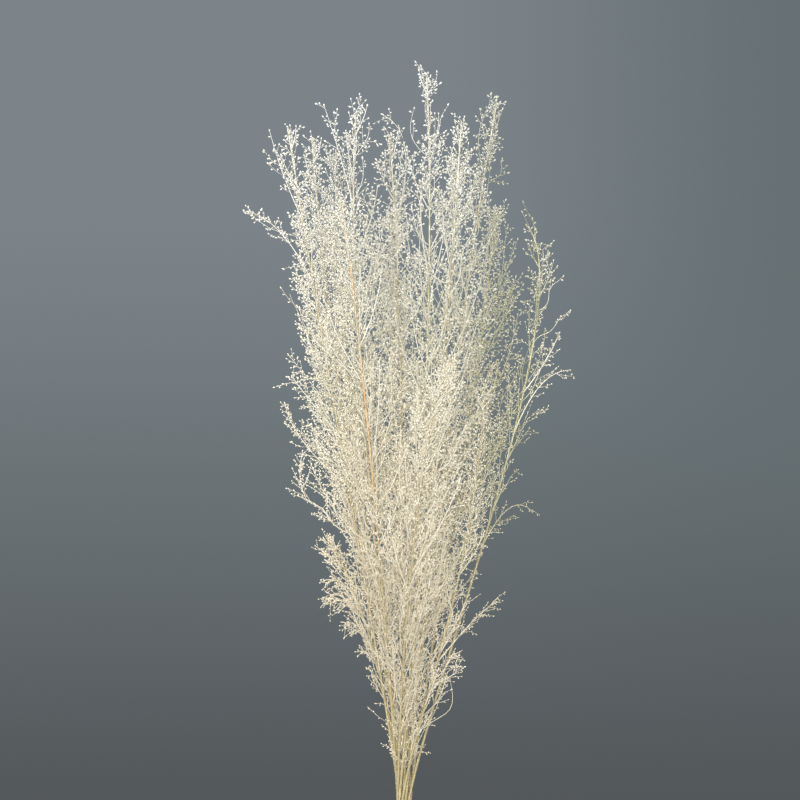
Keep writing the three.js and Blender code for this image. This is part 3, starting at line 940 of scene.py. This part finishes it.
# Heights between which the bark turns straw downwards, and pale upwards in two steps, each up to a share
STRAW_BARK = (0.48, 0.43)
PALER_BARK = (0.3, 0.6, 0.2)
BLEACHED_BARK = (0.64, 0.75, 0.8)
BARK_WEAR = 0.45
# Bark ridges: how drawn out along the stem, scale, levels of noise between dark and pale, shade of the dark
RIDGE_STRETCH = 0.06
RIDGE_SCALE = 2600.0
RIDGE_LEVELS = (0.62, 0.4)
RIDGE_SHADE = 0.6
# Tones at which the twigs and the seed heads reach their next colour, and the straw in the dullest twigs
TWIG_TONE = 0.45
HEAD_TONES = (0.22, 0.7)
TWIG_STRAW = 0.4
# Shares of a seed head's height between which its cup ends
CUP_END = (0.35, 0.65)


def node_adder(tree):
    """A shorthand that adds nodes to a tree, with values or links at their inputs."""

    def add(kind, inputs=(), **values):
        node = tree.nodes.new(kind)
        for key, value in values.items():
            setattr(node, key, value)
        for key, value in dict(inputs).items():
            if isinstance(value, bpy.types.NodeSocket):
                tree.links.new(value, node.inputs[key])
            else:
                node.inputs[key].default_value = value
        return node

    return add


def new_material(name, roughness):
    """A material at a roughness, its main shader, and the shorthand that adds nodes to it."""
    material = bpy.data.materials.new(name)
    material.use_nodes = True
    shader = material.node_tree.nodes["Principled BSDF"]
    shader.inputs["Roughness"].default_value = roughness
    return material, shader, node_adder(material.node_tree)


def connect(shader, key, socket):
    shader.id_data.links.new(socket, shader.inputs[key])


def opaque(colour):
    return (*colour, 1)


def object_place(add):
    return add("ShaderNodeTexCoord").outputs["Object"]


def height_in(add, place):
    return add("ShaderNodeSeparateXYZ", {"Vector": place}).outputs["Z"]


def own_value(add, key):
    """A value that each shoot or seed head carries itself."""
    return add("ShaderNodeAttribute", attribute_name=key).outputs["Fac"]


def between(add, value, low, high, top=1.0, **how):
    """How far a value is on the way from low to high, from 0 to top."""
    inputs = {"Value": value, "From Min": low, "From Max": high, "To Max": top}
    return add("ShaderNodeMapRange", inputs, **how).outputs["Result"]


def noise(add, place, scale, detail):
    return add("ShaderNodeTexNoise", {"Vector": place, "Scale": scale, "Detail": detail}).outputs["Fac"]


def patches(add, scale, low, high):
    """A soft pattern over the whole bunch, from 0 to 1, between two levels of noise."""
    return between(add, noise(add, object_place(add), scale, 3.0), low, high)


def calculate(add, operation, a, b, **how):
    return add("ShaderNodeMath", {0: a, 1: b}, operation=operation, **how).outputs["Value"]


def mix_colours(add, factor, a, b, blend="MIX"):
    inputs = {MIX_FACTOR: factor}
    for key, value in ((MIX_FIRST, a), (MIX_SECOND, b)):
        inputs[key] = value if isinstance(value, bpy.types.NodeSocket) else opaque(value)
    return add("ShaderNodeMix", inputs, data_type="RGBA", blend_type=blend).outputs[MIX_RESULT]


def colour_ramp(add, factor, *stops):
    """A ramp through colours at places from 0 to 1."""
    ramp = add("ShaderNodeValToRGB", {"Fac": factor})
    elements = ramp.color_ramp.elements
    while len(elements) < len(stops):
        elements.new(0.5)
    for element, (place, colour) in zip(elements, stops):
        element.position, element.color = place, opaque(colour)
    return ramp.outputs["Color"]


def raise_bumps(add, shader, height, strength, distance):
    inputs = {"Height": height, "Strength": strength, "Distance": distance}
    connect(shader, "Normal", add("ShaderNodeBump", inputs).outputs["Normal"])


def blended(one, other, share):
    return [lerp(a, b, share) for a, b in zip(one, other)]


def shaded_by_height(add, colour, settings):
    """Painted light and shade by height: a colour made cooler and dimmer at the crown, and painted shade,
    warmer and browner, towards the waist where the bunch shades itself.
    """
    rise = between(add, height_in(add, object_place(add)), *HEIGHT_SHADING)
    low, warm_shading, middle, crown = settings.lowest, settings.warmth, settings.middle, settings.crown
    tone = colour_ramp(add, rise, (0.0, low), (WARM_SHADE_AT, warm_shading), (MIDDLE_AT, middle), (1.0, crown))
    return mix_colours(add, 1.0, colour, tone, "MULTIPLY")


def greened(add, colour, green):
    """A colour turned green by each shoot's own share, and more in some patches of the bunch."""
    more = calculate(add, "MULTIPLY", patches(add, *GREEN_PATCHES), GREEN_PATCH_SHARE)
    share = calculate(add, "ADD", own_value(add, "green"), more, use_clamp=True)
    return mix_colours(add, share, colour, green)


def bark_finish(name, colour, settings):
    """Ridged bark that shows a stem's own colour half-way up, straw low down and bleached at the top."""
    material, shader, add = new_material(name, 0.62)
    place = object_place(add)
    height = height_in(add, place)
    drawn_out = add("ShaderNodeMapping", {"Vector": place, "Scale": (1, 1, RIDGE_STRETCH)}).outputs["Vector"]
    ridges = noise(add, drawn_out, RIDGE_SCALE, 2.0)
    lower = between(add, height, *STRAW_BARK)
    worn = blended(colour, settings.twig, BARK_WEAR)
    pale = mix_colours(add, patches(add, *WORN_PATCHES), colour, worn)
    pale = mix_colours(add, lower, pale, settings.bark)
    pale = mix_colours(add, between(add, height, *PALER_BARK), pale, settings.twig)
    pale = mix_colours(add, between(add, height, *BLEACHED_BARK), pale, settings.twig)
    dark = [[value * RIDGE_SHADE for value in shade] for shade in (colour, settings.bark)]
    dark = mix_colours(add, lower, *dark)
    connect(shader, "Base Color", mix_colours(add, between(add, ridges, *RIDGE_LEVELS), dark, pale))
    raise_bumps(add, shader, ridges, 0.6, 0.0002)
    return material


def twig_finish(settings, green):
    """Matte cream twigs, each with a tone of its own."""
    material, shader, add = new_material("cream twigs", 0.78)
    straw, cream = blended(settings.twig, settings.bark, TWIG_STRAW), settings.twig
    own = colour_ramp(add, own_value(add, "tone"), (0.0, straw), (TWIG_TONE, cream), (1.0, cream))
    # Painted shade by height over the twigs' own colour
    connect(shader, "Base Color", shaded_by_height(add, greened(add, own, green), settings))
    return material


def seed_head_finish(settings, growth):
    """Papery heads from white over cream to straw, darker in the cup at the root."""
    material, shader, add = new_material("cream seed heads", 0.82)
    dull, cream, pale = settings.dull, settings.cream, settings.pale
    stops = zip((0.0, *HEAD_TONES, 1.0), (dull, cream, pale, pale))
    own = greened(add, colour_ramp(add, own_value(add, "tone"), *stops), settings.olive)
    own = mix_colours(add, between(add, own_value(add, "rise"), *CUP_END), settings.cup, own)
    # Painted shade by height over the seed heads' own colour
    connect(shader, "Base Color", shaded_by_height(add, own, growth))
    return material


def glass_finish(settings):
    """Clear glass with a faint green tint and the slight waves of a moulded wall."""
    material, shader, add = new_material("bottle glass", 0.015)
    values = {"Base Color": opaque(settings.glass), "Transmission Weight": 1, "IOR": 1.5}
    for key, value in values.items():
        shader.inputs[key].default_value = value
    raise_bumps(add, shader, noise(add, object_place(add), 38.0, 1.0), 0.12, 0.001)
    return material


# Bottle


ROUND_STEPS = 8
SHOULDER_STEPS = 26
# Shares of the shoulder's rise over which it bulges above the body and is hollow below the neck
SHOULDER_BULGE = 0.65
SHOULDER_HOLLOW = 0.35
NECK_FLARE = 0.004
# How much lower the shoulder's inner side lies
INNER_DROP = 0.001
WELD_DISTANCE = 0.00001
SMOOTH_UP_TO = math.radians(40)


def quarter_round(corner, before, after):
    """A rounded corner of the profile, between points at two steps from it."""
    corner = np.array(corner)
    return bezier([corner + before, corner, corner + after], np.linspace(0, 1, ROUND_STEPS + 1))


def shoulder_curve(size, inset, drop):
    rise = size.shoulder_top - size.body_top
    corners = [
        (size.body_radius, size.body_top),
        (size.body_radius, size.body_top + SHOULDER_BULGE * rise),
        (size.neck_radius_low + NECK_FLARE, size.shoulder_top - SHOULDER_HOLLOW * rise),
        (size.neck_radius_low, size.shoulder_top),
    ]
    corners = [(radius - inset, height - drop) for radius, height in corners]
    return bezier(corners, np.linspace(0, 1, SHOULDER_STEPS + 1))


def bottle_profile(size):
    """Radius and height from the middle of the foot, over the lip and down to the middle of the floor."""
    lip_foot = size.height - size.lip_height
    foot, lip = size.foot_rounding, size.lip_rounding
    rows = [
        [(0, 0)],
        quarter_round((size.body_radius, 0), (-foot, 0), (0, foot)),
        shoulder_curve(size, 0, 0),
        [(size.neck_radius_high, lip_foot - lip)],
        quarter_round((size.lip_radius, lip_foot), (-lip, 0), (0, lip)),
        quarter_round((size.lip_radius, size.height), (0, -lip), (-lip, 0)),
        [(size.mouth_radius + size.mouth_chamfer, size.height)],
        [(size.mouth_radius, size.height - size.mouth_chamfer)],
        shoulder_curve(size, size.wall, INNER_DROP)[::-1],
        quarter_round((size.body_radius - size.wall, size.floor_thickness), (0, foot), (-foot, 0)),
        [(0, size.floor_thickness)],
    ]
    return np.vstack(rows)


class WORMWOOD_OT_bottle(bpy.types.Operator):
    """Spins the glass bottle from its profile"""

    bl_idname = "wormwood.bottle"
    bl_label = "Bottle"
    bl_options = {"UNDO"}

    def execute(self, context):
        settings = context.scene.wormwood_bottle
        mesh = bpy.data.meshes.new("bottle_glass")
        corners = [(radius, 0, height) for radius, height in bottle_profile(settings)]
        mesh.from_pydata(corners, [(i, i + 1) for i in range(len(corners) - 1)], [])
        bottle = bpy.data.objects.new("bottle_glass", mesh)
        context.scene.collection.objects.link(bottle)
        select_only(bottle)
        with all_in_edit_mode():
            bpy.ops.mesh.spin(steps=settings.sides, angle=FULL_TURN, center=(0, 0, 0), axis=(0, 0, 1))
            bpy.ops.mesh.select_all(action="SELECT")
            bpy.ops.mesh.remove_doubles(threshold=WELD_DISTANCE)
            bpy.ops.mesh.normals_make_consistent(inside=False)
        bpy.ops.object.shade_smooth_by_angle(angle=SMOOTH_UP_TO)
        mesh.materials.append(glass_finish(settings))
        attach(bottle, "root")
        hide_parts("bottle")
        return {"FINISHED"}


class WORMWOOD_OT_stems(bpy.types.Operator):
    """Grows each stem with its side branches and twigs"""

    bl_idname = "wormwood.stems"
    bl_label = "Stems and twigs"
    bl_options = {"UNDO"}

    def execute(self, context):
        settings = context.scene.wormwood_stems
        heads = context.scene.wormwood_seed_heads
        barks = {
            "bleached": bark_finish("straw bark", settings.bark, settings),
            "tan": bark_finish("tan bark", settings.tan_bark, settings),
            "olive": bark_finish("olive bark", settings.olive_bark, settings),
        }
        cream = twig_finish(settings, heads.olive)
        for stem in STEMS:
            branches, twigs = grow(stem, settings)
            stick = make_stick(stem, settings)
            stick.data.materials.append(barks[stem.look])
            piece = self.tube_piece(f"{stem.node}_twigs", branches, twigs)
            piece.data.materials.append(cream)
            select_only(piece, stick)
            bpy.ops.object.join()
            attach(piece, "root")
            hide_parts(stem.node)
        return {"FINISHED"}

    def tube_piece(self, name, *kinds):
        corners, faces, start = [], [], 0
        values = {"tone": [], "green": []}
        for shoots in kinds:
            new_corners, groups = tubes(shoots, TUBE_SIDES)
            corners.append(new_corners)
            faces += [group + start for group in groups]
            start += len(new_corners)
            for key, own in (("tone", shoots.tones), ("green", shoots.greens)):
                values[key].append(np.repeat(own, len(new_corners) // len(own)))
        values = {key: np.concatenate(rows) for key, rows in values.items()}
        return mesh_object(name, in_box(np.vstack(corners), *PIECE_MARGINS), faces, values)


class WORMWOOD_OT_seed_heads(bpy.types.Operator):
    """Models one seed head and sets copies of it on every twig"""

    bl_idname = "wormwood.seed_heads"
    bl_label = "Seed heads"
    bl_options = {"UNDO"}

    def execute(self, context):
        growth = context.scene.wormwood_stems
        settings = context.scene.wormwood_seed_heads
        bpy.ops.object.select_all(action="DESELECT")
        bud = model_seed_head(settings)
        papery = seed_head_finish(settings, growth)
        for stem in STEMS:
            draw = np.random.default_rng(HEAD_SEED + stem.number)
            branches, twigs = grow(stem, growth)
            on_twigs = heads_on(twigs, settings.spacing, HEADS_FROM, draw)
            leafy = branches.only(branches.lengths > 0)
            on_branches = heads_on(leafy, settings.spacing * BRANCH_HEADS_APART, BRANCH_HEADS_FROM, draw)
            piece = self.head_piece(f"{stem.node}_seed_heads", bud, Heads.joined(on_twigs, on_branches))
            piece.data.materials.append(papery)
            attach(piece, "root")
            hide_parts(stem.node)
        return {"FINISHED"}

    def head_piece(self, name, bud, heads):
        bud_corners, triangles, rise = bud
        side = sideways(heads.along, heads.turns)
        ways = enumerate((side, np.cross(heads.along, side), heads.along))
        placed = sum(bud_corners[:, axis, None] * way[:, None] for axis, way in ways)
        corners = heads.roots[:, None] + placed * heads.sizes[:, None, None]
        count, each = corners.shape[:2]
        faces = triangles + (np.arange(count) * each)[:, None, None]
        values = {
            "tone": np.repeat(heads.tones, each),
            "green": np.repeat(heads.greens, each),
            "rise": np.tile(rise, count),
        }
        corners = in_box(corners.reshape(-1, 3), *PIECE_MARGINS)
        return mesh_object(name, corners, [faces.reshape(-1, 3)], values)


# Stage

SENSOR_WIDTH = 36.0
LIGHTS_AIM = (0, 0, 0.52)
# Side, up or down, and how far each change of the backdrop reaches
RIGHT_SIDE = ("X", 0.0, 0.15)
LOWER_HALF = ("Z", -0.17, 0.02)
UPPER_HALF = ("Z", -0.03, 0.08)
FLOOR_SIDES = 128
FLOOR_DROP = 0.0004
FLOOR_WEAR = 0.93


class WORMWOOD_OT_stage(bpy.types.Operator):
    """Sets the camera, the studio lights, the backdrop and the pale floor"""

    bl_idname = "wormwood.stage"
    bl_label = "Stage"
    bl_options = {"UNDO"}

    def execute(self, context):
        settings = context.scene.wormwood_stage
        self.set_camera(context, settings)
        self.set_lights(settings)
        self.set_backdrop(context, settings)
        self.lay_floor(settings)
        context.scene.view_settings.view_transform = "Standard"
        return {"FINISHED"}

    def set_camera(self, context, settings):
        place = (settings.eye_side, -settings.distance, settings.eye_height)
        bpy.ops.object.camera_add(location=place, rotation=(math.pi / 2, 0, 0))
        camera = context.object
        camera.data.sensor_width = SENSOR_WIDTH
        camera.data.lens = SENSOR_WIDTH * settings.distance / settings.view_width
        context.scene.camera = camera

    def set_lights(self, settings):
        for name, place, size, power, colour in (
            ("key light", (-1.3, -2.0, 1.7), 3.0, settings.key_power, (1.0, 0.985, 0.95)),
            ("fill light", (1.7, -1.7, 0.8), 2.2, settings.fill_power, (0.96, 0.98, 1.0)),
            ("front light", (0.0, -2.5, 0.58), 0.4, settings.front_power, (1.0, 0.99, 0.97)),
            ("back light", (-1.7, 2.0, 1.6), 1.6, settings.back_power, (1.0, 0.99, 0.97)),
        ):
            turn = (Vector(LIGHTS_AIM) - Vector(place)).to_track_quat("-Z", "Y").to_euler()
            bpy.ops.object.light_add(type="AREA", location=place, rotation=turn)
            light = bpy.context.object
            light.name = name
            light.data.shape = "DISK"
            light.data.size = size
            light.data.energy = power
            light.data.color = colour

    def set_backdrop(self, context, settings):
        world = bpy.data.worlds.new("slate backdrop")
        context.scene.world = world
        world.use_nodes = True
        add = node_adder(world.node_tree)
        way = add("ShaderNodeTexCoord").outputs["Generated"]
        sides = add("ShaderNodeSeparateXYZ", {"Vector": way}).outputs

        def spread(side, low, high):
            return between(add, sides[side], low, high, interpolation_type="SMOOTHSTEP")

        right = settings.backdrop_right
        upper = mix_colours(add, spread(*RIGHT_SIDE), settings.backdrop_top, right)
        middle = mix_colours(add, spread(*RIGHT_SIDE), settings.backdrop_middle, right)
        lower = mix_colours(add, spread(*LOWER_HALF), settings.backdrop_bottom, middle)
        backdrop = mix_colours(add, spread(*UPPER_HALF), lower, upper)
        connect(world.node_tree.nodes["Background"], "Color", backdrop)

    def lay_floor(self, settings):
        bpy.ops.object.select_all(action="DESELECT")
        radius = settings.floor_radius
        bpy.ops.mesh.primitive_circle_add(vertices=FLOOR_SIDES, radius=radius, fill_type="NGON")
        floor = bpy.context.object
        floor.name = "floor"
        floor.location.z = -FLOOR_DROP
        material, shader, add = new_material("pale floor", 0.9)
        shader.inputs["Specular IOR Level"].default_value = 0
        worn = [value * FLOOR_WEAR for value in settings.floor]
        grain = noise(add, object_place(add), 9.0, 4.0)
        connect(shader, "Base Color", mix_colours(add, grain, settings.floor, worn))
        floor.data.materials.append(material)
        floor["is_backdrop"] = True


class WORMWOOD_PT_panel(bpy.types.Panel):
    """Lists the makers of the bunch, its bottle and the stage, with their sizes and colours"""

    bl_idname = "WORMWOOD_PT_panel"
    bl_label = "Dried Wormwood"
    bl_space_type = "VIEW_3D"
    bl_region_type = "UI"
    bl_category = "Wormwood"

    def draw(self, context):
        scene = context.scene
        for operator, settings in (
            ("wormwood.bottle", scene.wormwood_bottle),
            ("wormwood.stems", scene.wormwood_stems),
            ("wormwood.seed_heads", scene.wormwood_seed_heads),
            ("wormwood.stage", scene.wormwood_stage),
        ):
            box = self.layout.box()
            box.operator(operator)
            for name in settings.__annotations__:
                box.prop(settings, name)


SETTINGS = {
    "wormwood_bottle": BottleSettings,
    "wormwood_stems": StemSettings,
    "wormwood_seed_heads": SeedHeadSettings,
    "wormwood_stage": StageSettings,
}
CLASSES = (
    *SETTINGS.values(),
    WORMWOOD_OT_bottle,
    WORMWOOD_OT_stems,
    WORMWOOD_OT_seed_heads,
    WORMWOOD_OT_stage,
    WORMWOOD_PT_panel,
)


def register():
    for cls in CLASSES:
        bpy.utils.register_class(cls)
    for name, cls in SETTINGS.items():
        setattr(bpy.types.Scene, name, PointerProperty(type=cls))


def unregister():
    for name in SETTINGS:
        delattr(bpy.types.Scene, name)
    for cls in reversed(CLASSES):
        bpy.utils.unregister_class(cls)


def write_sizes():
    """Works out the box of the frame's solids and the box of the finished model side by side, without
    keeping them.
    """
    boxes = {"cad": CAD_BOX, "visual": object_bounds()}
    {name: [list(corner) for corner in box] for name, box in boxes.items()}


def main():
    register()
    lay_out_stems(bpy.context.scene.wormwood_bottle.floor_thickness)
    bpy.ops.object.select_all(action="DESELECT")
    bpy.ops.wormwood.bottle()
    bpy.ops.wormwood.stems()
    bpy.ops.wormwood.seed_heads()
    bpy.ops.wormwood.stage()
    write_sizes()


if __name__ == "__main__":
    main()
